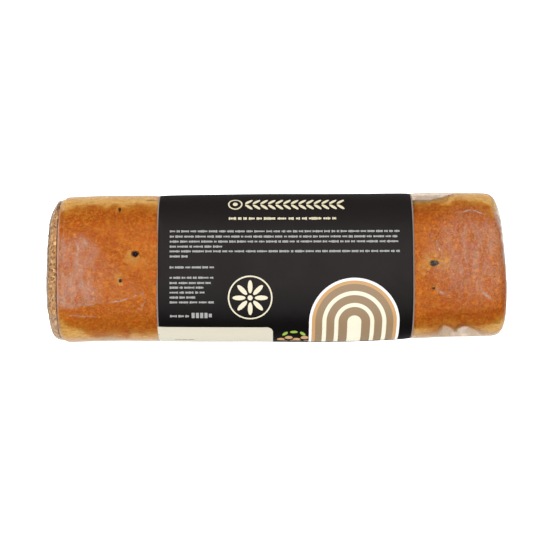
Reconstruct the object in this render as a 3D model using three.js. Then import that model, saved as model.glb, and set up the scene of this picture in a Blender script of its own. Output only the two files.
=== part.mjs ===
// A walnut roll in a tight clear wrap, with a printed label band round its middle.
// Millimetres, +Z up. X runs along the roll, and the origin is the middle of its underside.
import * as THREE from "three";

// Driving dimensions of the wrapped roll
const LENGTH = 295.4;
const WIDTH = 96;
const HEIGHT = 72;
// Height of the widest line of the section above the floor
const AXIS_HEIGHT = 37;
// Depth of the lower curve before the floor flattens it
const LOWER_DEPTH = 45;
// Squareness of the domed top and of the sides below the widest line
const TOP_POWER = 2.8;
const LOWER_POWER = 2.7;
// How much narrower each end is than the middle, on each side
const TAPER_RIGHT = 1.3;
const TAPER_LEFT = 1;
const TAPER_START = 40;
// The roll lies a little crooked: its right end drifts to +Y and its left end to -Y
const DRIFT_RIGHT = 2.1;
const DRIFT_RIGHT_START = 30;
const DRIFT_LEFT = 1.3;
const DRIFT_LEFT_START = 105;
// How far each end face is pulled in on the far side and out on the near side
const SKEW_RIGHT = 2.7;
const SKEW_LEFT = 0.5;
const SKEW_START = 105;
// Slow swells left by the dough: their height, and the length along the roll of a radian of each wave
const SWELL = 0.45;
const LONG_WAVE = 31;
const SHORT_WAVE = 17;
const SHORT_WAVE_SHARE = 0.4;
// The swells fade out on the end faces, between these radii
const SWELL_OUTER = 44;
const SWELL_INNER = 30;

// Left end: the rolled layers bulge out past the rim of the crust, as an end of this depth and squareness
const BULGE_DEPTH = 11.4;
const BULGE_RADIUS = 46.5;
const BULGE_POWER = 2.9;
const RIM_GROOVE = 0.8;
const RIM_ROUND = 1.4;
const RIM_STEP = 0.4;
const RIM_DROP = 0.3;

// Right end: the crust rounds over the end, and the middle of the face swells out a little more
const ROUND_DEPTH = 11.3;
const ROUND_POWER = 3.4;
const ROUND_SWELL = 1.2;

// Rolled layers that show as a spiral on both ends
const SPIRAL_PITCH = 14.5;
const SPIRAL_LEFT = 1.3;
const SPIRAL_RIGHT = 0.9;
const SPIRAL_FADE = 5;

// Label band, which sits in a shallow waist of the wrap
const BAND_WIDTH = 160.8;
const BAND_SHIFT = 6;
const BAND_THICKNESS = 0.6;
const BAND_SINK = 0.25;
const BAND_GAP = 0.4;

// Fineness of the faceted surfaces
const AROUND = 64;
const CAP_RINGS = 13;
const BAND_STEPS = 6;
const BODY_STEPS = 4;
const BODY_END_GAP = 7;

const halfLength = LENGTH / 2;
const halfWidth = WIDTH / 2;
const bandLeft = BAND_SHIFT - BAND_WIDTH / 2;
const bandRight = BAND_SHIFT + BAND_WIDTH / 2;
const waistRadius = halfWidth - BAND_SINK - BAND_THICKNESS - BAND_GAP;

const smoothstep = THREE.MathUtils.smoothstep;
const signedPower = (value, power) => Math.sign(value) * Math.abs(value) ** power;

// Distance from the end plane to a rounded end at a radius, for an end of this depth and roundness
const endDrop = (radius, rim, depth, power) =>
  depth * (1 - Math.max(0, 1 - (radius / rim) ** power) ** (1 / power));

// Slow uneven swells along and around the roll, as a share of the radius
function swell(station, turn) {
  const long = Math.sin(station / LONG_WAVE + 0.6) * Math.cos(2 * turn + 0.4);
  const short = Math.sin(station / SHORT_WAVE + 2.1) * Math.sin(3 * turn + 1.2);
  const mixed = THREE.MathUtils.lerp(long, short, SHORT_WAVE_SHARE);
  return (SWELL * mixed) / halfWidth;
}

// Depth of the spiral that the rolled layers draw on an end, fading at the rim and at the centre
function spiralRelief(radius, rim, turn, depth) {
  const phase = radius / SPIRAL_PITCH - turn / (2 * Math.PI);
  const fade = smoothstep(rim - radius, 0, SPIRAL_FADE) * smoothstep(radius, 0, SPIRAL_FADE);
  return depth * fade * 0.5 * (1 + Math.cos(2 * Math.PI * phase));
}

// Presses one point of a turned shape into the roll's domed, flat-bottomed section
function pressedPoint(radius, station, turn) {
  const side = Math.cos(turn);
  const rise = Math.sin(turn);
  const taper = station > 0 ? TAPER_RIGHT : TAPER_LEFT;
  const narrow = (taper * smoothstep(Math.abs(station), TAPER_START, halfLength)) / halfWidth;
  const wallShare = smoothstep(radius, SWELL_INNER, SWELL_OUTER);
  const scale = (radius / halfWidth) * (1 + swell(station, turn) * wallShare);
  const power = 2 / (rise > 0 ? TOP_POWER : LOWER_POWER);
  const reach = rise > 0 ? HEIGHT - AXIS_HEIGHT : LOWER_DEPTH;
  const across = halfWidth * (1 - narrow) * scale * signedPower(side, power);
  const height = AXIS_HEIGHT + reach * scale * signedPower(rise, power);
  const floor = AXIS_HEIGHT * (1 - radius / halfWidth);
  const skewRight = SKEW_RIGHT * smoothstep(station, SKEW_START, halfLength);
  const skewLeft = SKEW_LEFT * smoothstep(-station, SKEW_START, halfLength);
  const skewed = station + (skewLeft - skewRight) * (across / halfWidth);
  const driftRight = DRIFT_RIGHT * smoothstep(station, DRIFT_RIGHT_START, halfLength);
  const driftLeft = DRIFT_LEFT * smoothstep(-station, DRIFT_LEFT_START, halfLength);
  return [skewed, across + driftRight - driftLeft, Math.max(height, floor)];
}

// Turns a profile of radius and station, then presses it into the section of the roll
function pressedSolid(profile) {
  const points = profile.map(([radius, station]) => new THREE.Vector2(radius, station));
  const geometry = new THREE.LatheGeometry(points, AROUND);
  const position = geometry.getAttribute("position");
  for (let i = 0; i < position.count; i += 1) {
    const radius = Math.hypot(position.getX(i), position.getZ(i));
    const station = position.getY(i);
    const turn = Math.atan2(position.getZ(i), -position.getX(i));
    const [x, y, z] = pressedPoint(radius, station, turn);
    const inwards = leftInset(radius, station, turn) - rightInset(radius, station, turn);
    position.setXYZ(i, x + inwards, y, z);
  }
  geometry.deleteAttribute("normal");
  geometry.deleteAttribute("uv");
  return geometry;
}

// The spiral presses inwards only on the end faces
function leftInset(radius, station, turn) {
  const onEnd = station < -halfLength + BULGE_DEPTH;
  return onEnd ? spiralRelief(radius, BULGE_RADIUS, turn, SPIRAL_LEFT) : 0;
}

function rightInset(radius, station, turn) {
  const onEnd = station > halfLength - ROUND_DEPTH;
  return onEnd ? spiralRelief(radius, halfWidth - SPIRAL_FADE, turn, SPIRAL_RIGHT) : 0;
}

// Profile of the left end, from its pole to the rim of the crust
function leftEnd() {
  const rim = -halfLength + BULGE_DEPTH;
  const bulge = Array.from({ length: CAP_RINGS + 1 }, (_, i) => {
    const radius = BULGE_RADIUS * Math.sin((i / CAP_RINGS) * (Math.PI / 2));
    return [radius, -halfLength + endDrop(radius, BULGE_RADIUS, BULGE_DEPTH, BULGE_POWER)];
  });
  const groove = [BULGE_RADIUS - RIM_GROOVE, rim + RIM_STEP];
  const rounding = [0, 1, 2].map((step) => {
    const angle = (step * Math.PI) / 4;
    const radius = halfWidth - RIM_DROP * (1 - Math.sin(angle));
    return [radius, rim + 2 * RIM_STEP + RIM_ROUND * (1 - Math.cos(angle))];
  });
  return [...bulge, groove, ...rounding];
}

// Profile of the right end, from where the crust starts to round over to its pole
function rightEnd() {
  return Array.from({ length: CAP_RINGS + 1 }, (_, i) => {
    const radius = halfWidth * Math.cos((i / CAP_RINGS) * (Math.PI / 2));
    const swelling = ROUND_SWELL * (radius / halfWidth) ** 2;
    return [radius, halfLength - swelling - endDrop(radius, halfWidth, ROUND_DEPTH, ROUND_POWER)];
  });
}

// Evenly spaced stations from one place on the roll to another, both included
const stations = (from, to, steps) =>
  Array.from({ length: steps + 1 }, (_, i) => from + ((to - from) * i) / steps);

// Profile of the whole pack, with the waist that the label band sits in
function packProfile() {
  const full = (from, to, steps) => stations(from, to, steps).map((x) => [halfWidth, x]);
  const waist = stations(bandLeft, bandRight, BAND_STEPS).map((x) => [waistRadius, x]);
  const waistLeft = bandLeft - BAND_GAP;
  const waistRight = bandRight + BAND_GAP;
  const leftBody = full(-halfLength + BULGE_DEPTH + BODY_END_GAP, waistLeft, BODY_STEPS);
  const rightBody = full(waistRight, halfLength - ROUND_DEPTH - BODY_END_GAP, BODY_STEPS);
  return [
    ...leftEnd(),
    ...leftBody,
    [waistRadius, waistLeft],
    ...waist,
    [waistRadius, waistRight],
    ...rightBody,
    ...rightEnd(),
  ];
}

// Closed profile of the label band: out along its printed face and back along its inner face
function bandProfile() {
  const outer = halfWidth - BAND_SINK;
  const places = stations(bandLeft, bandRight, BAND_STEPS);
  const printed = places.map((x) => [outer, x]);
  const inner = places.map((x) => [outer - BAND_THICKNESS, x]).reverse();
  return [...printed, ...inner, printed[0]];
}

function named(name, geometry, finish) {
  const mesh = new THREE.Mesh(geometry, new THREE.MeshStandardMaterial(finish));
  mesh.name = name;
  return mesh;
}

const pack = new THREE.Group();
const wrappedRoll = named("wrapped_roll", pressedSolid(packProfile()), {
  color: 0xb8672d,
  roughness: 0.35,
  metalness: 0,
});
const labelBand = named("label_band", pressedSolid(bandProfile()), {
  color: 0x2b2523,
  roughness: 0.4,
  metalness: 0,
});
pack.add(wrappedRoll, labelBand);

// Sets the origin at the middle of the underside
wrappedRoll.geometry.computeBoundingBox();
const middle = wrappedRoll.geometry.boundingBox.getCenter(new THREE.Vector3());
pack.children.forEach((mesh) => mesh.geometry.translate(-middle.x, -middle.y, 0));

export default pack;
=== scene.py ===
# A baked walnut roll in a tight clear wrap, with a printed label sleeve round its middle.
# Metres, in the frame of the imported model: +X along the roll, +Z up, the floor at zero.
import math
import random
import bpy
from mathutils import Matrix, Vector


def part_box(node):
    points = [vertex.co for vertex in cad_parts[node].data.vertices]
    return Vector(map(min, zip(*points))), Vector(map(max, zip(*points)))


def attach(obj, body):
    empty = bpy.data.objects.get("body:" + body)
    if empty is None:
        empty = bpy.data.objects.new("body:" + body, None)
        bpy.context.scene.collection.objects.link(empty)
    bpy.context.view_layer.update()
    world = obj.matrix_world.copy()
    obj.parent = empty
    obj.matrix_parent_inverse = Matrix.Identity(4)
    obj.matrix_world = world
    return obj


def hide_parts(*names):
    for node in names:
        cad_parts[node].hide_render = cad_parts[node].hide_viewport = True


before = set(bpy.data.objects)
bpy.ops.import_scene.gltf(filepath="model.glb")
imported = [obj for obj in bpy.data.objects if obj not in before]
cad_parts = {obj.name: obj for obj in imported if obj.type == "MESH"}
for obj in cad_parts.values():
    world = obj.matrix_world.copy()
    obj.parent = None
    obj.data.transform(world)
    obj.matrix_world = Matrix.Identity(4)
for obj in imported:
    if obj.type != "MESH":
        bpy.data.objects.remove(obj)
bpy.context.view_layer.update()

MM = 0.001
PACK_LOW, PACK_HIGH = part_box("wrapped_roll")
BAND_LOW, BAND_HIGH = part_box("label_band")
PACK_CENTRE = (Vector(PACK_LOW) + Vector(PACK_HIGH)) / 2
PACK_SIZE = Vector(PACK_HIGH) - Vector(PACK_LOW)
BAND_MIDDLE = (BAND_LOW[0] + BAND_HIGH[0]) / 2
BAND_WIDTH = BAND_HIGH[0] - BAND_LOW[0]

# Section of the pack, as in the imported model
HALF_WIDTH = 48 * MM
TOP = 72 * MM
AXIS_HEIGHT = 37 * MM
LOWER_DEPTH = 45 * MM
TOP_POWER = 2.8
LOWER_POWER = 2.7

# Left rim of the crust, where the rolled layers bulge out
RIM = PACK_LOW[0] + 10.4 * MM

# Depths of the layers under the outer face of the wrap
CRUST_DEPTH = 0.25 * MM
CORE_DEPTH = 0.45 * MM
FILM_UNDER_LABEL = 0.55 * MM
FILM_GAP = 0.12 * MM

# Points closer than this are one point
TOUCHING = 0.00001

# Camera, fitted to the outline of the photograph
CAMERA_PLACE = Vector((-1.08, -87.64, 985.72)) * MM
CAMERA_TILT = math.radians(5)
CAMERA_ROLL = math.radians(-0.13)
FRAME_PIXELS = 550
FOCAL_PIXELS = 1464.4
SENSOR = 36


# Small helpers for modelling by operators

def alone(piece):
    """Selects this object only, and makes it active."""
    bpy.ops.object.select_all(action="DESELECT")
    piece.select_set(True)
    bpy.context.view_layer.objects.active = piece


def edit(piece, mode, action):
    """Goes into edit mode, and selects or deselects all of the piece."""
    alone(piece)
    bpy.ops.object.mode_set(mode="EDIT")
    bpy.ops.mesh.select_mode(type=mode)
    bpy.ops.mesh.select_all(action=action)


def whole(piece, mode="VERT"):
    edit(piece, mode, "SELECT")


def leave():
    bpy.ops.object.mode_set(mode="OBJECT")


def pick(piece, mode, parts, rule):
    """Goes into edit mode with only those parts of the mesh selected that pass the rule."""
    edit(piece, mode, "DESELECT")
    leave()
    for part in parts:
        part.select = bool(rule(part))
    bpy.ops.object.mode_set(mode="EDIT")


def pick_faces(piece, rule):
    """Selects the faces whose centre and normal pass the rule."""
    pick(piece, "FACE", piece.data.polygons, lambda face: rule(face.center, face.normal))


def pick_edges(piece, rule):
    """Selects the edges whose two ends pass the rule."""
    points = piece.data.vertices
    pick(piece, "EDGE", piece.data.edges,
         lambda line: rule(points[line.vertices[0]].co, points[line.vertices[1]].co))


def pick_points(piece, rule):
    pick(piece, "VERT", piece.data.vertices, lambda point: rule(point.co))


def cut_all(place, outwards, drop=True):
    """Cuts the piece in edit mode by a plane, and drops what lies outwards of it."""
    bpy.ops.mesh.select_all(action="SELECT")
    bpy.ops.mesh.bisect(plane_co=place, plane_no=outwards, clear_outer=drop)


def push(piece, distance, rule=lambda place: True):
    """Moves the points that pass the rule outwards along their normals."""
    pick_points(piece, rule)
    bpy.ops.transform.shrink_fatten(value=distance)
    leave()


def modify(piece, kind, **values):
    """Adds a modifier, sets its values and applies it."""
    alone(piece)
    modifier = piece.modifiers.new(kind.lower(), kind)
    for key, value in values.items():
        setattr(modifier, key, value)
    bpy.ops.object.modifier_apply(modifier=modifier.name)


def cling(piece, target, **values):
    """Moves the points of a piece to the nearest places on the target."""
    modify(piece, "SHRINKWRAP", target=target, wrap_method="NEAREST_SURFACEPOINT", **values)


def settle(piece):
    """Puts the piece's place into its mesh, and shades it smooth."""
    alone(piece)
    bpy.ops.object.transform_apply(location=True, rotation=True, scale=True)
    bpy.ops.object.shade_smooth()


def clean(piece, distance=TOUCHING):
    """Merges points that touch and turns the faces outwards."""
    whole(piece)
    bpy.ops.mesh.remove_doubles(threshold=distance)
    bpy.ops.mesh.normals_make_consistent(inside=False)
    leave()


def named(name, piece=None):
    """Names a piece, the active one if none is given, and its mesh."""
    piece = piece or bpy.context.active_object
    piece.name = name
    piece.data.name = name
    return piece


def placed(piece):
    bpy.context.scene.collection.objects.link(piece)
    return piece


def copy_of(piece, name):
    twin = placed(piece.copy())
    twin.data = piece.data.copy()
    return named(name, twin)


def displace(piece, name, kind, strength, level, group="", **values):
    """Moves the points in and out by a procedural texture with these values."""
    texture = bpy.data.textures.new(name, kind)
    for key, value in values.items():
        setattr(texture, key, value)
    modify(piece, "DISPLACE", texture=texture, texture_coords="LOCAL", strength=strength,
           mid_level=level, vertex_group=group)


def weight(piece, name, rule):
    """A vertex group whose weight at each point is given by the rule."""
    group = piece.vertex_groups.new(name=name)
    for point in piece.data.vertices:
        share = rule(point.co)
        if share > 0:
            group.add([point.index], min(1, share), "REPLACE")
    return name


def ramp(value, start, end):
    """0 before start, 1 past end and smooth between."""
    share = max(0, min(1, (value - start) / (end - start)))
    return share * share * (3 - 2 * share)


# Forms that the pieces are fitted to

# Spacing of the grid that the outer pieces are made from, before it is halved once
BLANK_SPACING = 3.2 * MM
# Rounds of smoothing: before the block is pressed, after each pressing, and at the end
BLOCK_ROUNDS = 24
PRESSED_ROUNDS = (8, 3)
LAST_ROUNDS = 4


def pack_form():
    """A smooth copy of the pack's outer face, as packed, to fit the pieces to."""
    parts = [copy_of(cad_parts[node], "pack_form") for node in ("wrapped_roll", "label_band")]
    alone(parts[0])
    parts[1].select_set(True)
    bpy.ops.object.join()
    form = bpy.context.active_object
    whole(form)
    bpy.ops.mesh.remove_doubles(threshold=TOUCHING)
    bpy.ops.mesh.tris_convert_to_quads()
    leave()
    modify(form, "SUBSURF", levels=1, render_levels=1)
    return form


FORM = pack_form()


def pressed_blank():
    """A block of the pack's size, cut into a fine grid and pressed onto the form."""
    bpy.ops.mesh.primitive_cube_add(size=1, location=PACK_CENTRE, scale=PACK_SIZE)
    blank = named("blank")
    settle(blank)
    for axis in range(3):
        others = [i for i in range(3) if i != axis]
        pick_edges(blank, lambda a, b: all(abs(a[i] - b[i]) < 1e-6 for i in others))
        bpy.ops.mesh.subdivide(number_cuts=round(PACK_SIZE[axis] / BLANK_SPACING))
        leave()
    modify(blank, "SMOOTH", factor=0.5, iterations=BLOCK_ROUNDS)
    for rounds in PRESSED_ROUNDS:
        cling(blank, FORM)
        modify(blank, "SMOOTH", factor=0.5, iterations=rounds)
    modify(blank, "SUBSURF", levels=1, render_levels=1)
    cling(blank, FORM)
    modify(blank, "SMOOTH", factor=0.5, iterations=LAST_ROUNDS)
    return blank


# The baked roll

# Where the dough lies back from the film on its sides: place along the roll and depth
FAR_HOLLOW = ((80, 5.2), (88, 7.4), (97, 7.6), (105, 5.6), (111, 3), (116, 0))
NEAR_HOLLOW = ((-118, 0), (-112, 2.2), (-105, 3), (-100, 1.4), (-95, 0),
               (82, 2), (98, 2.6), (103, 4.4), (106.5, 9.5), (110, 8.5), (113.6, 5.2), (117, 8.5),
               (120, 8.8), (126, 7), (132, 4.2), (137, 1.4), (141, 0))
# The dough takes this share of that depth, and only on the shoulders: how far out they
# start, and between which heights they rise and end
HOLLOW_SHARE = 0.6
SHOULDER_SIDE = (28 * MM, 40 * MM)
SHOULDER_FOOT = (33 * MM, 47 * MM)
SHOULDER_TOP = (62 * MM, 73 * MM)
# The film shows that it stands off past this line, above these heights and from this depth
BRIDGE_LINE = (47.8 * MM, 49.2 * MM)
BRIDGE_FOOT = (22 * MM, 46 * MM)
BRIDGE_DEPTH = 2 * MM

# Docking holes in the crust: place along, place across, radius, stretch along the roll
DOCKING_HOLES = (
    (-88.6 * MM, 5.8 * MM, 1.3 * MM, 1.25),
    (-97.8 * MM, -11.0 * MM, 0.8 * MM, 0.8),
    (-99.1 * MM, 34.6 * MM, 1.0 * MM, 0.5),
    (98.9 * MM, -0.5 * MM, 1.25 * MM, 1.6),
    (98.4 * MM, -16.0 * MM, 0.4 * MM, 2),
)
# Reach of a hole's finer mesh, of its raised rim and of its sunken lip, in radii
HOLE_FIELD = 4.5
HOLE_RIM = 2.6
HOLE_LIP = 1.4
RIM_RISE = 0.3 * MM
LIP_SINK = 0.9 * MM
HOLE_DEPTH = 5 * MM
HOLES_ABOVE = 40 * MM

# Left edge of the crust: its rounded lip, its wall, and the pocket that the core sits in
LIP_WIDTH = 0.5 * MM
LIP_STEP = 0.4 * MM
CRUST_WALL = 1.6 * MM
POCKET = 5 * MM

# Rolled core: gap to the pocket, pitch of its spiral, and the filling's half share of a turn,
# its reach from the axis and its rise
CORE_GAP = 2.6 * MM
SPIRAL_PITCH = 14.5 * MM
FILLING_HALF_SHARE = 0.27
FILLING_REACH = 39 * MM
FILLING_RISE = 0.15 * MM


def along_table(table, place):
    """The value of a table of (place, value) pairs in millimetres, joined by smooth steps."""
    for (x0, low), (x1, high) in zip(table, table[1:]):
        if x0 * MM <= place < x1 * MM:
            return (low + (high - low) * ramp(place, x0 * MM, x1 * MM)) * MM
    return 0


def free_depth(place):
    """How far the film could stand off the dough at a place along its side."""
    return along_table(FAR_HOLLOW if place.y > 0 else NEAR_HOLLOW, place.x)


def hollow_depth(place):
    """How far the dough lies below the film at a place on its shoulders."""
    side = ramp(abs(place.y), *SHOULDER_SIDE)
    height = ramp(place.z, *SHOULDER_FOOT) * (1 - ramp(place.z, *SHOULDER_TOP))
    return HOLLOW_SHARE * free_depth(place) * side * height


def bridged(place):
    """How clearly the film stands off the dough at a place, from 0 to 1."""
    depth = free_depth(place)
    across = ramp(abs(place.y) + depth, *BRIDGE_LINE)
    return min(1, depth / BRIDGE_DEPTH) * across * ramp(place.z, *BRIDGE_FOOT)


def mark_bridges(piece):
    """Stores on each point how clearly the film stands off the dough there."""
    bridge = piece.data.attributes.new("bridge", "FLOAT", "POINT")
    for point, value in zip(piece.data.vertices, bridge.data):
        value.value = bridged(point.co)


def sink_holes(crust):
    """Pushes each docking hole down into the crust, with a raised rim."""
    for along, across, radius, stretch in DOCKING_HOLES:
        def near(place, reach):
            away = math.hypot((place.x - along) / stretch, place.y - across)
            return place.z > HOLES_ABOVE and away < reach

        pick_faces(crust, lambda place, normal: near(place, HOLE_FIELD * radius))
        bpy.ops.mesh.subdivide(number_cuts=2)
        leave()
        for reach, rise in ((HOLE_RIM, RIM_RISE), (HOLE_LIP, -LIP_SINK)):
            push(crust, rise, lambda place: near(place, reach * radius))
        pick_points(crust, lambda place: near(place, radius))
        bpy.ops.transform.translate(value=(0, 0, -HOLE_DEPTH))
        leave()


def crust_loaf(blank):
    """The browned outside of the roll, cut off at its left rim with a pocket for the core."""
    crust = copy_of(blank, "crust_loaf")
    push(crust, -CRUST_DEPTH)
    whole(crust)
    bpy.ops.mesh.bisect(
        plane_co=(RIM, 0, 0), plane_no=(1, 0, 0), use_fill=True, clear_inner=True)
    leave()
    for point in crust.data.vertices:
        point.co.y -= math.copysign(hollow_depth(point.co), point.co.y)
    pick_faces(crust, lambda place, normal: normal.x < -0.95 and place.x < RIM + 0.1 * MM)
    bpy.ops.mesh.inset(thickness=LIP_WIDTH)
    bpy.ops.transform.translate(value=(-LIP_STEP, 0, 0))
    bpy.ops.mesh.inset(thickness=CRUST_WALL)
    bpy.ops.mesh.extrude_region_move(TRANSFORM_OT_translate={"value": (POCKET, 0, 0)})
    leave()
    sides = weight(crust, "off_the_floor", lambda place: ramp(place.z, 1 * MM, 8 * MM)
                   * ramp(place.x, RIM + 2 * MM, RIM + 12 * MM))
    displace(crust, "dough_swells", "CLOUDS", 0.9 * MM, 0.62, sides,
             noise_scale=0.022, noise_depth=2)
    displace(crust, "crust_bumps", "CLOUDS", 0.4 * MM, 0.6, sides,
             noise_scale=0.006, noise_depth=2)
    sink_holes(crust)
    clean(crust)
    settle(crust)
    mark_bridges(crust)
    return crust


def section_half(rise):
    """Squareness and reach of the half of the section, above or below the widest line."""
    return (TOP_POWER, TOP - AXIS_HEIGHT) if rise > 0 else (LOWER_POWER, LOWER_DEPTH)


def spiral_phase(place):
    """Share of a turn that the rolled layers have made at a place on an end, as packed."""
    rise = place.z - AXIS_HEIGHT
    power, reach = section_half(rise)
    side = (abs(place.y) / HALF_WIDTH) ** (power / 2)
    up = (abs(rise) / reach) ** (power / 2)
    radius = HALF_WIDTH * math.hypot(side, up) ** (2 / power)
    turn = math.atan2(math.copysign(up, rise), math.copysign(side, place.y))
    return (radius / SPIRAL_PITCH - turn / (2 * math.pi)) % 1, radius


def rolled_core(blank):
    """The rolled dough that bulges out on the left, and the walnut filling in its layers."""
    core = copy_of(blank, "rolled_core")
    push(core, -CORE_DEPTH)
    whole(core)
    bpy.ops.mesh.bisect(
        plane_co=(RIM + POCKET - 0.5 * MM, 0, 0), plane_no=(1, 0, 0),
        use_fill=True, clear_outer=True)
    leave()
    push(core, -CORE_GAP, lambda place: place.x > RIM - 0.4 * MM)
    pick_faces(core, lambda place, normal: place.x < RIM - 1 * MM)
    bpy.ops.mesh.subdivide(number_cuts=2, smoothness=0)
    leave()

    def filled(place, normal):
        phase, radius = spiral_phase(place)
        in_layer = abs(phase - 0.5) < FILLING_HALF_SHARE and radius < FILLING_REACH
        return place.x < RIM - 3 * MM and in_layer

    pick_faces(core, filled)
    bpy.ops.mesh.separate(type="SELECTED")
    leave()
    filling = [piece for piece in bpy.context.selected_objects if piece != core][0]
    named("walnut_filling", filling)
    whole(filling, "FACE")
    bpy.ops.mesh.extrude_region_shrink_fatten(TRANSFORM_OT_shrink_fatten={"value": FILLING_RISE})
    leave()
    displace(core, "crumb_relief", "CLOUDS", 0.6 * MM, 0.7, noise_scale=0.0026, noise_depth=2)
    displace(filling, "nut_relief", "VORONOI", 1.1 * MM, 0.75, noise_scale=0.0032)
    for piece in (core, filling):
        clean(piece, 0.002 * MM)
        settle(piece)
    return core, filling


# The clear wrap

# A flap of film on an end: where it starts along the roll, how far its tip reaches past the
# middle, the heights of its two slanting edges at the tip, and their slope
FLAP_START = 139.5 * MM
FLAP_TIP = 7 * MM
FLAP_TOP = 34 * MM
FLAP_FOOT = 24 * MM
FLAP_SLOPE = 0.25
# Height of the near and of the far flap over the wrap
FLAP_LIFT = {"near": 0.2 * MM, "far": 0.4 * MM}


def under_label(place):
    return BAND_LOW[0] < place.x < BAND_HIGH[0]


def clear_wrap(blank, crust):
    """The film, drawn over the whole roll and pressed in a little under the label."""
    film = copy_of(blank, "clear_wrap")
    sides = weight(film, "off_the_floor", lambda place: ramp(place.z, 2 * MM, 10 * MM))
    displace(film, "film_slack", "CLOUDS", 0.5 * MM, 0.6, sides, noise_scale=0.045, noise_depth=1)
    push(film, -FILM_UNDER_LABEL, under_label)
    off_label = weight(
        film, "off_the_label", lambda place: place.z > 3 * MM and not under_label(place))
    cling(film, crust, wrap_mode="OUTSIDE", offset=FILM_GAP, vertex_group=off_label)
    settle(film)
    mark_bridges(film)
    return film


def end_flap(blank, end, side, place, across):
    """A flap of film folded over one end of the wrap from the side, drawn to a blunt tip."""
    flap = copy_of(blank, f"{end}_flap_{place}")
    tip = -across * FLAP_TIP
    cuts = (
        ((side * FLAP_START, 0, 0), (-side, 0, 0)),
        ((0, tip, FLAP_TOP), (0, -across * FLAP_SLOPE, 1)),
        ((0, tip, FLAP_FOOT), (0, -across * FLAP_SLOPE, -1)),
        ((0, tip, 0), (0, -across, 0)),
    )
    whole(flap, "FACE")
    for point, outwards in cuts:
        cut_all(point, outwards)
    leave()
    push(flap, FLAP_LIFT[place])
    settle(flap)
    return flap


# The label sleeve and its print, drawn flat and bent round the section

PATH_STEPS = 720
SLEEVE_CELLS_ROUND = 220
SLEEVE_CELLS_ALONG = 90
SLEEVE_THICKNESS = 0.2 * MM
# Heights over the form: the sleeve, the pale strip, most print, and what lies on other print
SLEEVE_LIFT = 0.1 * MM
STRIP_LIFT = 0.15 * MM
PRINT_LIFT = 0.16 * MM
LEAF_LIFT = 0.18 * MM
STRIP_MARK_LIFT = 0.2 * MM
# Spacing of the cuts that let the print bend: round the section and along the roll
PRINT_CUTS = ((0, 1.5 * MM), (2, 3 * MM))

# Turns the flat drawing's axes (round, outwards, along) into the roll's (across, up, along)
STAND_UP = Matrix(((0, 0, 1, 0), (1, 0, 0, 0), (0, 1, 0, 0), (0, 0, 0, 1)))
UPRIGHT = (math.pi / 2, 0, 0)


def section_point(turn):
    """A point of the section at an angle, from the side (0) over the top (a quarter turn)."""
    side = math.cos(turn)
    rise = math.sin(turn)
    power, reach = section_half(rise)
    across = HALF_WIDTH * math.copysign(abs(side) ** (2 / power), side)
    height = AXIS_HEIGHT + reach * math.copysign(abs(rise) ** (2 / power), rise)
    return across, max(height, 0)


def section_path():
    """The section as a flat curve, from the middle of the underside over the far side."""
    places = [section_point(-math.pi / 2 + 2 * math.pi * i / PATH_STEPS)
              for i in range(PATH_STEPS + 1)]
    path = bpy.data.curves.new("section_path", "CURVE")
    path.dimensions = "2D"
    line = path.splines.new("POLY")
    line.points.add(len(places) - 1)
    for point, (across, height) in zip(line.points, places):
        point.co = (across, height, 0, 1)
    piece = placed(bpy.data.objects.new("section_path", path))
    length = sum(math.dist(a, b) for a, b in zip(places, places[1:]))
    return piece, length


PATH, AROUND = section_path()


def bend_round(piece, lift):
    """Bends a flat drawing round the section and fits it onto the sleeve."""
    modify(piece, "CURVE", object=PATH, deform_axis="POS_X")
    piece.data.transform(STAND_UP)
    cling(piece, FORM, wrap_mode="ABOVE_SURFACE", offset=lift)
    settle(piece)


def label_sleeve():
    """The printed band: a thin sheet bent round the section, closed underneath."""
    bpy.ops.mesh.primitive_grid_add(
        x_subdivisions=SLEEVE_CELLS_ROUND, y_subdivisions=SLEEVE_CELLS_ALONG, size=1,
        location=(AROUND / 2, 0, BAND_MIDDLE), rotation=UPRIGHT)
    sleeve = named("label_sleeve")
    sleeve.scale = (AROUND * 0.9999, BAND_WIDTH, 1)
    settle(sleeve)
    bend_round(sleeve, SLEEVE_LIFT)
    clean(sleeve, 0.1 * MM)
    modify(sleeve, "SOLIDIFY", thickness=SLEEVE_THICKNESS, offset=-1)
    settle(sleeve)
    return sleeve


# Each mark has a place along the roll and an arc from the crown, both in millimetres, with the
# arc growing towards the near side.

def flat_place(along, arc):
    return AROUND / 2 + arc * MM, 0, along * MM


def begin_print(name):
    """Starts a piece of print as a mesh that the marks are added to in edit mode."""
    bpy.ops.mesh.primitive_plane_add(size=1 * MM)
    piece = named(name)
    whole(piece, "FACE")
    bpy.ops.mesh.delete(type="VERT")
    return piece


def print_bar(along, arc, wide, high):
    """A bar of the print, given by its middle, in edit mode."""
    centre = flat_place(along, arc)
    bpy.ops.mesh.primitive_plane_add(size=1 * MM, location=centre, rotation=UPRIGHT)
    bpy.ops.transform.resize(value=(high, 1, wide), center_override=centre)


def print_petal(along, arc, wide, high, lean):
    """A pointed oval of the print, turned by an angle, in edit mode."""
    centre = flat_place(along, arc)
    print_disc(along, arc, 0.5, 0, 12)
    bpy.ops.transform.resize(value=(high, 1, wide), center_override=centre)
    bpy.ops.transform.rotate(value=lean, orient_axis="Y", center_override=centre)


def print_disc(along, arc, radius, inner, corners):
    """A disc or a ring of the print, in edit mode."""
    bpy.ops.mesh.select_all(action="DESELECT")
    bpy.ops.mesh.primitive_circle_add(
        vertices=corners, radius=radius * MM, fill_type="NGON", location=flat_place(along, arc),
        rotation=UPRIGHT)
    if inner:
        bpy.ops.mesh.inset(thickness=(radius - inner) * MM)
        bpy.ops.mesh.delete(type="FACE")


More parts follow.
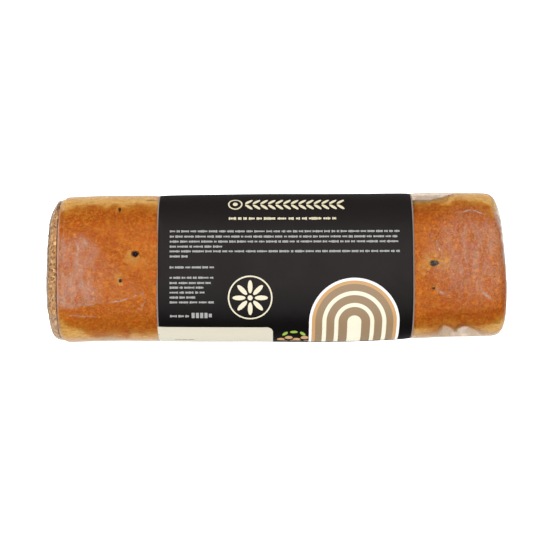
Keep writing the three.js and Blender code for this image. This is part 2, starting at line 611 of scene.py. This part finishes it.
def end_print(piece, lift=PRINT_LIFT):
    """Cuts the flat marks finely enough to bend, then bends them onto the sleeve."""
    leave()
    for index, spacing in PRINT_CUTS:
        places = [point.co[index] for point in piece.data.vertices]
        across = [float(i == index) for i in range(3)]
        whole(piece)
        cut = min(places) + spacing
        while cut < max(places):
            cut_all([cut * share for share in across], across, False)
            cut += spacing
        leave()
    bend_round(piece, lift)
    return piece


# Rows of small print: where they start, and the arc and the end of each
ROW_START = -67
SMALL_ROWS = (
    (-20.1, 77.5), (-16.7, 77.5), (-13.5, 77.5), (-10.3, -34), (-7.3, 77.5), (-4.1, -54),
    (2.8, -39), (9.3, -39.3), (12.6, -41.2), (15.5, -45.5), (18.6, -44.9), (21.7, -49.9),
    (24.8, -39.3),
)

# Garland of leaves: its arc, the place of the ring before it and of the first leaves, the
# spacing of its leaves and how far they stand off its middle
GARLAND_ARC = -40
GARLAND_RING = -26
FIRST_LEAF = -17.4
LEAF_SPACING = 4.85
LEAF_OFFSET = 2.3

# Rosette: its place, the ring round it, and the reach of its petals
ROSETTE_PLACE = (-16.5, 22)
ROSETTE_RING = (14, 13.1)
PETALS = 8
PETAL_REACH = 7

# Arch: its bands from the outside in (radius and colour), the middle of its round top, and
# the arc where it ends
ARCH_BANDS = ((28.5, "sugar"), (26.8, "crumb"), (24.6, "filling"), (20.2, "cream"),
              (17.6, "filling"), (12.6, "cream"), (10, "filling"), (4.4, "cream"))
ARCH_PLACE = (49, 38)
ARCH_FOOT = 64

# Round nuts beside the arch, by colour: first place and spacing along the roll, arc and how
# much every second one lies back, radius and corners
NUTS = {
    "crumb": (2.8, 5, 56, 3, 2.5, 20),
    "filling": (5.6, 4.4, 61, 2, 1.6, 16),
}

# Rounded corner of the pale strip: the middle of its round, and its radius
STRIP_CORNER = (-6.4, 46.1)
STRIP_ROUND = 4.1


def word_row(arc, start, stop, high, shortest, longest, gap):
    """A row of short bars of uneven length and height, in edit mode."""
    along = start
    while along < stop - shortest:
        word_end = min(along + random.uniform(shortest, longest), stop)
        while along < word_end - 0.2 * high:
            wide = min(random.uniform(0.5, 1.1) * high, word_end - along)
            print_bar(along + wide / 2, arc, wide * 0.86, high * random.uniform(0.75, 1.3))
            along += wide
        along = word_end + gap


def small_print():
    """The rows of small print, and a line of larger bars at the lower left."""
    rows = begin_print("print_rows")
    for arc, stop in SMALL_ROWS:
        word_row(arc, ROW_START, stop, 1.15, 1.6, 7.5, 0.75)
    word_row(33.9, ROW_START, -54.8, 1.3, 2.5, 5, 0.8)
    for i in range(5):
        print_bar(-52.4 + 2.7 * i, 33.4, 1.9, 3.6 if i < 4 else 2.4)
    return end_print(rows)


def title_print():
    """A garland of paired leaves, and a finer row under it."""
    title = begin_print("print_title")
    print_disc(GARLAND_RING, GARLAND_ARC, 4.6, 3.7, 32)
    print_disc(GARLAND_RING, GARLAND_ARC, 1.6, 0, 16)
    for i in range(13):
        for side in (-1, 1):
            print_petal(FIRST_LEAF + LEAF_SPACING * i, GARLAND_ARC + LEAF_OFFSET * side,
                        6.2, 2, -0.7 * side)
    word_row(-28.8, -30, 40, 1.5, 2, 8, 1.1)
    return end_print(title)


def ornament_print():
    """A rosette in a ring."""
    mark = begin_print("print_ornament")
    along, arc = ROSETTE_PLACE
    print_disc(along, arc, *ROSETTE_RING, 64)
    print_disc(along, arc, 1.6, 0, 24)
    for i in range(PETALS):
        turn = 2 * math.pi * i / PETALS
        print_petal(along + PETAL_REACH * math.cos(turn), arc + PETAL_REACH * math.sin(turn),
                    8.4, 3, -turn)
    return end_print(mark)


def arch_print():
    """An arch of bands in the colours of crust, cream and filling, one mesh for each colour."""
    pieces = []
    along, spring = ARCH_PLACE
    radii = [radius for radius, colour in ARCH_BANDS] + [0]
    for tone in ("sugar", "crumb", "filling", "cream"):
        bands = [(radius, radii[i + 1])
                 for i, (radius, colour) in enumerate(ARCH_BANDS) if colour == tone]
        piece = begin_print("print_arch_" + tone)
        for outer, inner in bands:
            print_disc(along, spring, outer, inner, 72)
        cut_all(flat_place(along, spring), (1, 0, 0))
        for outer, inner in bands:
            for side in (-1, 1):
                print_bar(along + side * (outer + inner) / 2, (spring + ARCH_FOOT) / 2,
                          outer - inner, ARCH_FOOT - spring)
        if tone in NUTS:
            first, spacing, arc, back, radius, corners = NUTS[tone]
            for i in range(4):
                print_disc(first + spacing * i, arc - back * (i % 2), radius, 0, corners)
        pieces.append((tone, end_print(piece)))
    leaves = begin_print("print_leaves")
    for i in range(3):
        print_petal(5.4 + 5.6 * i, 48 - 1.8 * (i % 2), 5, 2.4, 0.9 - 0.9 * i)
    pieces.append(("leaf", end_print(leaves, LEAF_LIFT)))
    return pieces


def cream_strip():
    """The empty pale field near the lower edge, with one rounded corner."""
    strip = begin_print("print_strip")
    print_disc(*STRIP_CORNER, STRIP_ROUND, 0, 32)
    for outwards in ((1, 0, 0), (0, 0, -1)):
        cut_all(flat_place(*STRIP_CORNER), outwards)
    print_bar(-40.5, 56.1, 68.2, 28)
    print_bar(-4.35, 58.1, STRIP_ROUND, 24)
    return end_print(strip, STRIP_LIFT)


def strip_mark():
    """A few fine dark bars on the pale strip."""
    mark = begin_print("print_strip_mark")
    word_row(57.5, -65, -51, 0.8, 2, 5, 0.6)
    return end_print(mark, STRIP_MARK_LIFT)


# Helpers for the finishes. The coordinates are those of the object, in metres. A helper adds
# its nodes to the tree that its first socket belongs to.

def tree_node(tree, kind, inputs=None, **values):
    """Adds a shader node, sets its values, and links or sets its inputs."""
    made = tree.nodes.new("ShaderNode" + kind)
    for key, value in values.items():
        setattr(made, key, value)
    for key, value in (inputs or {}).items():
        if isinstance(value, bpy.types.NodeSocket):
            tree.links.new(value, made.inputs[key])
        else:
            made.inputs[key].default_value = value
    return made


def finish(name):
    """A new material with an output, and its tree."""
    material = bpy.data.materials.new(name)
    material.use_nodes = True
    material.node_tree.nodes.clear()
    output = material.node_tree.nodes.new("ShaderNodeOutputMaterial")
    return material, material.node_tree, output


def noise(coords, scale, detail=3, roughness=0.55):
    return tree_node(coords.id_data, "TexNoise", {
        "Vector": coords, "Scale": scale, "Detail": detail, "Roughness": roughness}
    ).outputs["Fac"]


def mapped(value, low, high, to_low=0.0, to_high=1.0):
    """A smooth step from to_low at low to to_high at high."""
    return tree_node(value.id_data, "MapRange", {
        "Value": value, "From Min": low, "From Max": high, "To Min": to_low, "To Max": to_high},
        interpolation_type="SMOOTHSTEP").outputs["Result"]


def between(value, low, high, to_low=0.0, to_high=1.0):
    """The same between two places in millimetres."""
    return mapped(value, low * MM, high * MM, to_low, to_high)


def calc(operation, first, second=0.0, clamp=False):
    """A result of maths on two values, of which one at least is a socket."""
    socket = first if isinstance(first, bpy.types.NodeSocket) else second
    return tree_node(socket.id_data, "Math", {0: first, 1: second},
                     operation=operation, use_clamp=clamp).outputs[0]


def times(first, second, clamp=False):
    return calc("MULTIPLY", first, second, clamp)


def plus(first, second, clamp=False):
    return calc("ADD", first, second, clamp)


def minus(first, second, clamp=False):
    return calc("SUBTRACT", first, second, clamp)


def larger(first, second):
    return calc("MAXIMUM", first, second)


def vector(operation, first, second, output="Vector"):
    """A result of vector maths. A dot product or a distance comes out as "Value"."""
    return tree_node(first.id_data, "VectorMath", {0: first, 1: second},
                     operation=operation).outputs[output]


def blend(share, first, second):
    """A colour between two, each a socket or a plain triple."""
    colours = [value if isinstance(value, bpy.types.NodeSocket) else (*value, 1)
               for value in (first, second)]
    return tree_node(share.id_data, "Mix", {0: share, 6: colours[0], 7: colours[1]},
                     data_type="RGBA").outputs[2]


def tinted(colour, *tints):
    """A colour with tints laid over it one after the other, each a share and a colour."""
    for share, tint in tints:
        colour = blend(share, colour, tint)
    return colour


def object_axes(tree):
    """The object's coordinates, whole and as places along, across and up."""
    coords = tree_node(tree, "TexCoord").outputs["Object"]
    return coords, *tree_node(tree, "SeparateXYZ", {0: coords}).outputs


def bridge_mark(tree):
    """How clearly the film stands off the dough, as mark_bridges stored it."""
    return tree_node(tree, "Attribute", attribute_name="bridge").outputs["Fac"]


def surface(tree, output, colour, roughness, height=None, depth=0.3 * MM, specular=0.5):
    """Links a principled shader with a bump to the output."""
    inputs = {"Base Color": colour, "Roughness": roughness, "Specular IOR Level": specular}
    if height is not None:
        inputs["Normal"] = tree_node(tree, "Bump", {
            "Height": height, "Distance": depth, "Strength": 1.0}).outputs["Normal"]
    shader = tree_node(tree, "BsdfPrincipled", inputs)
    tree.links.new(shader.outputs[0], output.inputs["Surface"])


def from_point(coords, place, stretch=1):
    """Distance from a point, seen from above, for an oval stretched along the roll."""
    flat = vector("MULTIPLY", coords, (1 / stretch, 1, 0))
    return vector("DISTANCE", flat, (place[0] / stretch, place[1], 0), "Value")


# The crust and the crumb

BAKED = {
    "brown": (0.475, 0.086, 0.002),
    "amber": (0.6, 0.15, 0.006),
    "deep": (0.41, 0.064, 0.002),
    "golden": (0.73, 0.235, 0.016),
    "shoulder_tone_and_shade": (0.4, 0.066, 0.001),
    "streak": (0.27, 0.042, 0.001),
    "speck": (0.78, 0.29, 0.025),
    "halo": (0.66, 0.3, 0.05),
    # painted shade inside the docking holes
    "hole": (0.04, 0.009, 0.001),
    "fringe": (0.66, 0.26, 0.022),
    "wall": (0.93, 0.585, 0.18),
    "wall_streak": (0.72, 0.38, 0.085),
    "wall_blotch": (0.84, 0.39, 0.055),
    "scorched": (0.33, 0.12, 0.03),
    "low_wall": (0.56, 0.31, 0.12),
    # painted shade on the dough in the hollows that the film bridges
    "hollow_shade": (0.56, 0.4, 0.24),
    "lip": (0.76, 0.43, 0.3),
}
# Where the pale walls widen towards the ends: from, to, and by how much at each
WALL_WIDENINGS = ((-108, -137, 0, 5 * MM), (126, 143, 0, 6 * MM))
# Fineness of the crumb, and the painted shadow in the gap between it and the rim of the crust
CRUMB_SCALE = 420.0
RIM_SHADOW = (0.11, 0.034, 0.01)


def wall_border(coords, along, side, near):
    """Where the brown top ends: a wandering distance from the middle, and the wandering."""
    wander = mapped(noise(coords, 30, 6, 0.65), 0.3, 0.7, -3.8 * MM, 3.8 * MM)
    for widening in WALL_WIDENINGS:
        wander = plus(wander, between(along, *widening))
    high = times(between(along, -122, -112), between(along, -91, -96, 0, 4.5 * MM))
    high = times(plus(high, 3.2 * MM), near)
    wander = minus(wander, high)
    return plus(side, wander), wander


def pale_wall(coords, up, streak, blotch):
    """Colour of the pale walls, with scorched marks, duller low down."""
    long_marks = vector("MULTIPLY", coords, (0.3, 1, 1))
    scorched = mapped(noise(long_marks, 210, 3), 0.6, 0.68, 0, 0.75)
    return tinted(
        blend(streak, BAKED["wall"], BAKED["wall_streak"]),
        (times(blotch, 0.35), BAKED["wall_blotch"]),
        (scorched, BAKED["scorched"]),
        (between(up, 57, 42, 0, 0.6), BAKED["low_wall"]))


def crust_finish():
    """Browned top with darker shoulders, partly baked colour and partly painted shade, golden halos
    round its holes with painted shade inside them, pale walls, and painted shade where the film
    bridges a hollow.
    """
    material, tree, output = finish("crust_brown")
    coords, along, across, up = object_axes(tree)
    stretched = vector("MULTIPLY", coords, (0.5, 1, 1))
    drift = mapped(noise(coords, 22, 4), 0.35, 0.66)
    blotch = mapped(noise(coords, 75, 5, 0.7), 0.38, 0.62)
    mottle = mapped(noise(coords, 260, 6, 0.8), 0.43, 0.6)
    streak = mapped(noise(stretched, 500, 4, 0.8), 0.46, 0.62)
    speck = mapped(noise(coords, 720, 4, 0.7), 0.47, 0.6)
    side = calc("ABSOLUTE", across)
    near = between(across, 1, -1)
    on_top = between(up, 40, 50)
    # The shoulders are darker, partly as baked colour and partly as painted shade, more on the far
    # side than on the near.
    shoulder_tone_and_shade = times(between(side, 20, 32), mapped(near, 0, 1, 0.45, 0.1))
    colour = tinted(
        blend(drift, BAKED["brown"], BAKED["amber"]),
        (times(blotch, 0.45), BAKED["deep"]),
        (times(mottle, 0.55), BAKED["golden"]),
        (shoulder_tone_and_shade, BAKED["shoulder_tone_and_shade"]),
        (times(streak, 0.38), BAKED["streak"]),
        (times(speck, 0.5), BAKED["speck"]))

    # Docking holes, each with an uneven halo and a painted shade, nearly black, inside the hole
    uneven = plus(times(mottle, 0.5), mapped(noise(coords, 120, 4, 0.7), 0.38, 0.6))
    for x, y, radius, stretch in DOCKING_HOLES:
        away = from_point(coords, (x, y), stretch)
        ragged = plus(away, times(uneven, 9 * radius))
        halo = mapped(ragged, 12 * radius, 3 * radius, 0, 0.95)
        edge = plus(away, times(streak, 0.9 * radius))
        hole = mapped(edge, 1.9 * radius, 1.3 * radius)
        colour = tinted(colour, (times(halo, on_top), BAKED["halo"]),
                        (times(hole, on_top), BAKED["hole"]))

    # Golden fringe and pale walls, and a painted grey-tan shade where the film bridges a hollow.
    # The brown comes back at the foot.
    border, wander = wall_border(coords, along, side, near)
    fringe = between(plus(border, times(uneven, 3 * MM)), 34, 42, 0, 0.75)
    lower_wall = times(between(up, 50, 43), between(plus(up, wander), 3, 9))
    wall = larger(between(border, 36.6, 41.2), lower_wall)
    lip = mapped(along, RIM + 1.1 * MM, RIM + 0.3 * MM, 0, 0.55)
    colour = tinted(
        colour,
        (times(fringe, on_top), BAKED["fringe"]),
        (times(wall, 0.9), pale_wall(coords, up, streak, blotch)),
        (times(bridge_mark(tree), 0.8), BAKED["hollow_shade"]),
        (lip, BAKED["lip"]))
    height = plus(times(speck, 0.6), mottle)
    surface(tree, output, colour, mapped(mottle, 0, 1, 0.42, 0.62), height, 0.3 * MM, 0.03)
    return material


def crumb_finish(name, light, dark, flecks):
    """Baked crumb in two tones, with flecks, and a painted shadow in the gap at the rim."""
    material, tree, output = finish(name)
    coords, along, across, up = object_axes(tree)
    patches = mapped(noise(coords, CRUMB_SCALE, 5, 0.7), 0.4, 0.6)
    fleck = mapped(tree_node(tree, "TexVoronoi", {
        "Vector": coords, "Scale": CRUMB_SCALE * 1.2}).outputs["Distance"], 0.45, 0.2)
    # Painted shadow in the gap at the rim, wider at the far top corner and broken by noise
    far_corner = times(between(across, 30, 41), between(up, 44, 56, 0, 2.6 * MM))
    gap = mapped(plus(along, far_corner), RIM - 1.5 * MM, RIM - 0.5 * MM)
    gap = times(gap, mapped(noise(coords, 150, 3), 0.38, 0.52, 0.2, 1))
    colour = tinted(blend(patches, dark, light),
                    (times(fleck, 0.75), flecks), (gap, RIM_SHADOW))
    surface(tree, output, colour, 0.75, minus(patches, fleck), 0.6 * MM, 0.3)
    return material


# The film

# How far the noise of the film bends the outlines of its patches and creases
WARP = 4 * MM

# Whiteness of the film: painted reflections in hazy patches, folds on the ends, seam, painted
# glints on wrinkles, and seen edge-on.
# Then the fineness of the seam's crimp lines.
LEFT_REFLECTION = 0.155
RIGHT_REFLECTION = 0.1
FOLD_HAZE = 0.2
SEAM_HAZE = 0.4
WRINKLE_GLINT = 0.22
GRAZING_HAZE = 0.6
CRIMP_FINENESS = 3500.0
# Colour of the haze where the film clings, and where it bridges a hollow, darker there as painted
# shade from the hollow under it
MILKY = (0.78, 0.71, 0.63)
MILKY_OVER_SHADE = (0.66, 0.56, 0.46)

# Creases of the film seen from above: along and across at each end, width, all in
# millimetres, and brightness, partly whitening of the creased film and partly painted glints
CREASES = (
    (-123.9, 12.6, -124.5, 3.8, 0.9, 0.5),
    (-122.6, 18.3, -117.8, 9.5, 1, 0.32),
    (-134.5, -27, -107.6, -25.1, 0.5, 0.34),
    (-107.6, -25.1, -83.2, -19.5, 0.7, 0.4),
    (-83.8, -18.2, -82, -24, 0.8, 0.26),
    (-82, -24, -87.4, -30.4, 0.8, 0.3),
    (-118.4, -11.8, -115.9, -18.2, 0.7, 0.52),
    (-115.4, -16.9, -114.5, -24.4, 0.7, 0.4),
    (-132.6, -32.6, -112.6, -33.4, 0.6, 0.24),
    (-136.6, 24, -137, -27, 0.7, 0.24),
    (113.6, 32.1, 124.2, 33.5, 0.6, 0.4),
    (124.2, 33.5, 132.2, 30, 0.6, 0.42),
    (100.2, 13.6, 101.4, 9, 0.9, 0.8),
    (101.2, 9.6, 102.9, 6.2, 0.8, 0.5),
    (96.9, 16.2, 97.9, 18.8, 0.7, 0.4),
    (98.8, -15.6, 108, -21, 1.5, 0.24),
    (140.2, 41.6, 143, 36.6, 0.8, 0.9),
    (142.8, 37, 146.6, 12, 0.7, 0.4),
    (144.6, 24.4, 146, 22, 0.9, 0.8),
    (147, 3.4, 148.2, 1.6, 0.9, 0.9),
    (146.6, -26, 147, -31, 0.8, 0.55),
    (126, -16, 136, -23.5, 1.6, 0.28),
    (118, -12, 124, -15, 0.9, 0.2),
    (-135.2, 37, -134.8, 34, 0.5, 0.55),
)


def crease_group():
    """A node group: how close a point is to a straight crease, seen from above."""
    group = bpy.data.node_groups.new("crease", "ShaderNodeTree")
    for name in ("Point", "From", "To"):
        group.interface.new_socket(name, in_out="INPUT", socket_type="NodeSocketVector")
    group.interface.new_socket("Width", in_out="INPUT", socket_type="NodeSocketFloat")
    group.interface.new_socket("Share", in_out="OUTPUT", socket_type="NodeSocketFloat")
    given = group.nodes.new("NodeGroupInput").outputs
    result = group.nodes.new("NodeGroupOutput")
    start = vector("SUBTRACT", given["Point"], given["From"])
    run = vector("SUBTRACT", given["To"], given["From"])
    share = calc("DIVIDE", vector("DOT_PRODUCT", start, run, "Value"),
                 vector("DOT_PRODUCT", run, run, "Value"), True)
    spread = tree_node(group, "VectorMath", {0: run}, operation="SCALE")
    group.links.new(share, spread.inputs["Scale"])
    away = vector("DISTANCE", start, spread.outputs[0], "Value")
    near = minus(1.0, calc("DIVIDE", away, given["Width"]), True)
    taper = times(times(share, minus(1.0, share)), 4.0)
    soft = times(near, calc("POWER", taper, 0.4))
    group.links.new(soft, result.inputs["Share"])
    return group


def half_plane(coords, first, second, soft):
    """1 on the left of the line from first to second and 0 on its right, seen from above."""
    run = (Vector(second) - Vector(first)).normalized()
    normal = Vector((-run.y, run.x))
    dot = vector("DOT_PRODUCT", coords, (normal.x, normal.y, 0), "Value")
    offset = normal.dot(Vector(first)) * MM
    return mapped(dot, offset - soft * MM, offset + soft * MM)


def warped_flat(tree, coords):
    """Coordinates seen from above and bent by noise, so that no outline on them is straight."""
    cloud = tree_node(tree, "TexNoise", {
        "Vector": coords, "Scale": 110.0, "Detail": 5.0}).outputs["Color"]
    warped = vector("ADD", coords, vector("MULTIPLY", cloud, (WARP, WARP, WARP)))
    flat = vector("MULTIPLY", warped, (1, 1, 0))
    return vector("SUBTRACT", flat, (WARP / 2, WARP / 2, 0))


def crease_light(tree, coords, flat, up, creases):
    """Brightness of the creases, partly whitening and partly painted glints, broken by noise, and
    the height of their ridges.
    """
    crease_glint = 0.0
    ridge = 0.0
    for x0, y0, x1, y1, width, light in CREASES:
        share = tree_node(tree, "Group", {
            "Point": flat, "From": (x0 * MM, y0 * MM, 0), "To": (x1 * MM, y1 * MM, 0),
            "Width": width * MM}, node_tree=creases).outputs["Share"]
        crease_glint = larger(crease_glint, times(share, light))
        ridge = larger(ridge, share)
    broken = mapped(noise(coords, 380, 3), 0.4, 0.6, 0.25, 1.2)
    return times(times(crease_glint, broken), between(up, 28, 36)), ridge


def painted_reflection_patches(coords, flat, along, across, up):
    """Painted reflections of the lights on the film: a hazy patch on the left, bounded by lines,
    and a fainter one on the right.
    """
    streaks = vector("MULTIPLY", coords, (1, 0.3, 1))
    grain = mapped(noise(streaks, 260, 6, 0.8), 0.36, 0.64, 0.3, 1.7)
    left = half_plane(flat, (-84, -19.4), (-120, 19), 2.2)
    for share in (half_plane(flat, (-137, -29), (-84, -21), 1.5),
                  between(across, 21, 13),
                  mapped(along, RIM - 1 * MM, RIM + 1 * MM),
                  between(along, -104, -124, 0.12, 0.85)):
        left = times(left, share)
    right = between(from_point(flat, (0.124, 0.005)), 38, 10)
    haze_and_sheen = plus(times(left, LEFT_REFLECTION), times(right, RIGHT_REFLECTION))
    return times(times(haze_and_sheen, grain), between(up, 40, 52))


def bridge_haze_and_sheen(coords, along, across, up, bridge):
    """Whitish streaks where the film bridges a hollow, partly its haze and partly painted
    reflection, fainter where it clings to the dough.
    """
    level = vector("MULTIPLY", coords, (1, 1, 0.25))
    cloudy = mapped(noise(level, 130, 4, 0.6), 0.34, 0.66, between(up, 34, 47, -0.15, 0.4), 0.78)
    clinging = times(between(across, 1, -1), between(along, 114, 110, 0, 0.55))
    return times(bridge, times(cloudy, minus(1.0, clinging)), True)


def rim_haze_and_sheen(coords, along, across, up):
    """Whitish rims, partly haze and partly painted reflection, where the film stands off at the far
    corner of the right end and the near corner of the left.
    """
    right_rim = times(between(along, 136, 141), between(across, -6, 6))
    left_rim = times(mapped(along, RIM + 1 * MM, RIM - 1 * MM, 0, 0.2), between(across, -30, -34))
    rims = times(plus(right_rim, left_rim),
                 times(between(up, 71, 66, 0, 0.85),
                       between(up, 46, 58, 0.25, 1)))
    return times(rims, mapped(noise(coords, 170, 3), 0.35, 0.62, 0.45, 1))


def seam_haze(across, up):
    """The long crimped seam underneath."""
    under = between(up, 1.5, 0.5)
    seam = between(calc("ABSOLUTE", across), 6.5, 5.8)
    crimp = mapped(calc("SINE", times(across, CRIMP_FINENESS)), -0.2, 0.5)
    seam = times(times(seam, under), plus(crimp, 0.4))
    return times(seam, SEAM_HAZE)


def wrinkles(coords, up):
    """Fine wrinkles drawn down the sides and over the ends, for bumps and for painted glints."""
    drawn = vector("MULTIPLY", coords, (1, 1, 0.07))
    waver = calc("ABSOLUTE", minus(noise(drawn, 130, 1, 0.4), 0.5))
    wrinkle = times(mapped(waver, 0.03, 0.0), between(up, 56, 40))
    return times(wrinkle, mapped(noise(coords, 60, 3), 0.42, 0.66))


def film_finish(name, creases, thickness):
    """Clear film: see-through with an edge gloss, hazy patches of painted reflection, creases with
    painted glints and a seam underneath.
    """
    material, tree, output = finish(name)
    coords, along, across, up = object_axes(tree)
    flat = warped_flat(tree, coords)
    crease_glint, ridge = crease_light(tree, coords, flat, up, creases)
    bridge = bridge_mark(tree)
    on_end = times(between(calc("ABSOLUTE", along), 139, 146), between(up, 52, 36))
    folds = mapped(noise(coords, 130, 4, 0.6), 0.5, 0.72)
    wrinkle = wrinkles(coords, up)
    haze_and_sheen = painted_reflection_patches(coords, flat, along, across, up)
    # This joins the film's own haze, at the folds, the seam and over the hollows, with painted
    # light: glints on the creases and wrinkles, and reflections in the patches, over the hollows
    # and on the rims.
    for other in (bridge_haze_and_sheen(coords, along, across, up, bridge),
                  rim_haze_and_sheen(coords, along, across, up),
                  times(times(on_end, folds), FOLD_HAZE),
                  seam_haze(across, up), crease_glint, times(wrinkle, WRINKLE_GLINT)):
        haze_and_sheen = larger(haze_and_sheen, other)
    haze_and_sheen = plus(haze_and_sheen, thickness, True)
    facing = tree_node(tree, "LayerWeight", {"Blend": 0.5}).outputs["Facing"]
    haze_and_sheen = larger(haze_and_sheen, times(calc("POWER", facing, 4.0), GRAZING_HAZE))

    crinkle = plus(noise(coords, 60, 3), times(folds, on_end))
    for crest in (ridge, wrinkle):
        crinkle = plus(crinkle, times(crest, 0.8))
    bump = tree_node(tree, "Bump", {
        "Strength": 1.0, "Distance": 0.4 * MM, "Height": crinkle}).outputs["Normal"]
    gloss = tree_node(tree, "BsdfGlossy", {
        "Color": (1, 1, 1, 1), "Roughness": 0.2, "Normal": bump})
    clear = tree_node(tree, "BsdfTransparent", {"Color": (0.99, 0.99, 0.99, 1)})
    edge = tree_node(tree, "Fresnel", {"IOR": 1.25, "Normal": bump})
    clean_film = tree_node(tree, "MixShader", {
        0: times(edge.outputs["Fac"], 0.7), 1: clear.outputs[0], 2: gloss.outputs[0]})
    milky = tree_node(tree, "BsdfDiffuse", {"Color": blend(bridge, MILKY, MILKY_OVER_SHADE)})
    mixed = tree_node(tree, "MixShader", {
        0: haze_and_sheen, 1: clean_film.outputs[0], 2: milky.outputs[0]})
    tree.links.new(mixed.outputs[0], output.inputs["Surface"])
    return material


# The label

def sleeve_finish():
    """Black print with a soft gloss and a painted sheen, lighter across the middle and darkest on
    the near side, and the bare pale edge of the sheet along both sides.
    """
    material, tree, output = finish("label_black")
    coords, along, across = object_axes(tree)[:3]
    reach = BAND_WIDTH / 2
    edge = mapped(calc("ABSOLUTE", minus(along, BAND_MIDDLE)), reach - 0.32 * MM, reach - 0.22 * MM)
    grain = mapped(noise(coords, 24, 4), 0.3, 0.7)
    # Painted sheen: the black is lighter across the middle of the top and darkest on the near side
    pale = times(between(across, -40, -8), between(across, 34, 6, 0.65, 1))
    colour = tinted(
        blend(pale, (0.002, 0.0015, 0.0014), (0.0165, 0.013, 0.0128)),
        (times(grain, 0.4), (0.006, 0.004, 0.0036)),
        (edge, (0.3, 0.24, 0.21)))
    rough = mapped(grain, 0, 1, 0.34, 0.44)
    height = plus(noise(coords, 45, 2), times(grain, 0.5))
    surface(tree, output, colour, rough, height, 0.5 * MM, 0.1)
    return material


INKS = {
    "grey": (0.33, 0.33, 0.32),
    "title": (0.68, 0.61, 0.42),
    "ornament": (0.74, 0.68, 0.5),
    "sugar": (0.86, 0.84, 0.83),
    "crumb": (0.55, 0.31, 0.12),
    "filling": (0.29, 0.19, 0.1),
    "cream": (0.8, 0.77, 0.6),
    "leaf": (0.28, 0.44, 0.05),
    "strip": (0.62, 0.58, 0.465),
    "dark": (0.08, 0.08, 0.07),
}


def ink(name):
    material, tree, output = finish("ink_" + name)
    surface(tree, output, (*INKS[name], 1), 0.4)
    return material


def dress(piece, material):
    """Gives a piece its finish and its body."""
    piece.data.materials.clear()
    piece.data.materials.append(material)
    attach(piece, "root")


# Stage

FLOOR_SIZE = 6
FLOOR_GLOW = 1.8
SKY_STRENGTH = 0.8
LIGHTS_AIM = Vector((0, 0, 0.05))


def add_floor():
    """A white sweep that hardly shows a shadow."""
    bpy.ops.mesh.primitive_plane_add(size=FLOOR_SIZE)
    floor = named("floor")
    material, tree, output = finish("floor_white")
    paint = tree_node(tree, "BsdfDiffuse", {"Color": (0.5, 0.5, 0.5, 1)})
    glow = tree_node(tree, "Emission", {"Color": (1, 1, 1, 1), "Strength": FLOOR_GLOW})
    both = tree_node(tree, "AddShader", {0: paint.outputs[0], 1: glow.outputs[0]})
    tree.links.new(both.outputs[0], output.inputs["Surface"])
    floor.data.materials.append(material)
    floor.visible_glossy = False


def add_light(name, place, size, power):
    light = bpy.data.lights.new(name, "AREA")
    light.size = size
    light.energy = power
    lamp = placed(bpy.data.objects.new(name, light))
    lamp.location = place
    lamp.rotation_euler = (LIGHTS_AIM - Vector(place)).to_track_quat("-Z", "Y").to_euler()


def add_camera():
    camera = bpy.data.cameras.new("camera")
    camera.sensor_width = SENSOR
    camera.lens = FOCAL_PIXELS * SENSOR / FRAME_PIXELS
    holder = placed(bpy.data.objects.new("camera", camera))
    holder.location = CAMERA_PLACE
    holder.rotation_euler = (CAMERA_TILT, 0, CAMERA_ROLL)
    bpy.context.scene.camera = holder


def add_world():
    """A pale sky, darker low down and a little darker on the near side."""
    world = bpy.data.worlds.new("studio")
    world.use_nodes = True
    tree = world.node_tree
    background = tree.nodes["Background"]
    towards = tree_node(tree, "TexCoord").outputs["Generated"]
    up = vector("DOT_PRODUCT", towards, (0, 0.05, 1), "Value")
    sky = blend(mapped(up, 0.0, 0.9), (0.26, 0.26, 0.26), (1, 1, 1))
    tree.links.new(sky, background.inputs["Color"])
    background.inputs["Strength"].default_value = SKY_STRENGTH
    bpy.context.scene.world = world
    bpy.context.scene.view_settings.view_transform = "Standard"


# Everything in its place

random.seed(7)
blank = pressed_blank()
crust = crust_loaf(blank)
core, filling = rolled_core(blank)
film = clear_wrap(blank, crust)
flaps = [end_flap(blank, end, side, place, across)
         for end, side in (("left", -1), ("right", 1))
         for place, across in (("near", -1), ("far", 1))]
sleeve = label_sleeve()

creases = crease_group()
film_look = film_finish("clear_film", creases, 0.0)
flap_look = film_finish("folded_film", creases, 0.1)
dress(crust, crust_finish())
dress(core, crumb_finish("rolled_dough", (0.9, 0.56, 0.26), (0.56, 0.26, 0.09),
                         (0.24, 0.085, 0.024)))
dress(filling, crumb_finish("walnut", (0.4, 0.22, 0.11), (0.18, 0.08, 0.035),
                            (0.55, 0.38, 0.22)))
for piece, look in ((film, film_look), *((flap, flap_look) for flap in flaps)):
    dress(piece, look)
dress(sleeve, sleeve_finish())
for piece in (crust, core, filling, film, *flaps):
    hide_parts("wrapped_roll")
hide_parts("label_band")

marks = [
    ("grey", small_print(), "label_print"),
    ("title", title_print(), "label_cream"),
    ("ornament", ornament_print(), "label_cream"),
    ("strip", cream_strip(), "label_cream"),
    ("dark", strip_mark(), "label_print"),
]
marks += [(tone, piece, "label_print") for tone, piece in arch_print()]
for tone, piece, slot in marks:
    dress(piece, ink(tone))
    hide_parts("label_band")

for helper in (FORM, blank, PATH):
    bpy.data.objects.remove(helper, do_unlink=True)

add_floor()
add_camera()
add_world()
add_light("overhead", (0, -0.15, 1.5), 2.6, 25)
add_light("spark", (-0.9, 0.9, 1.1), 0.25, 3)
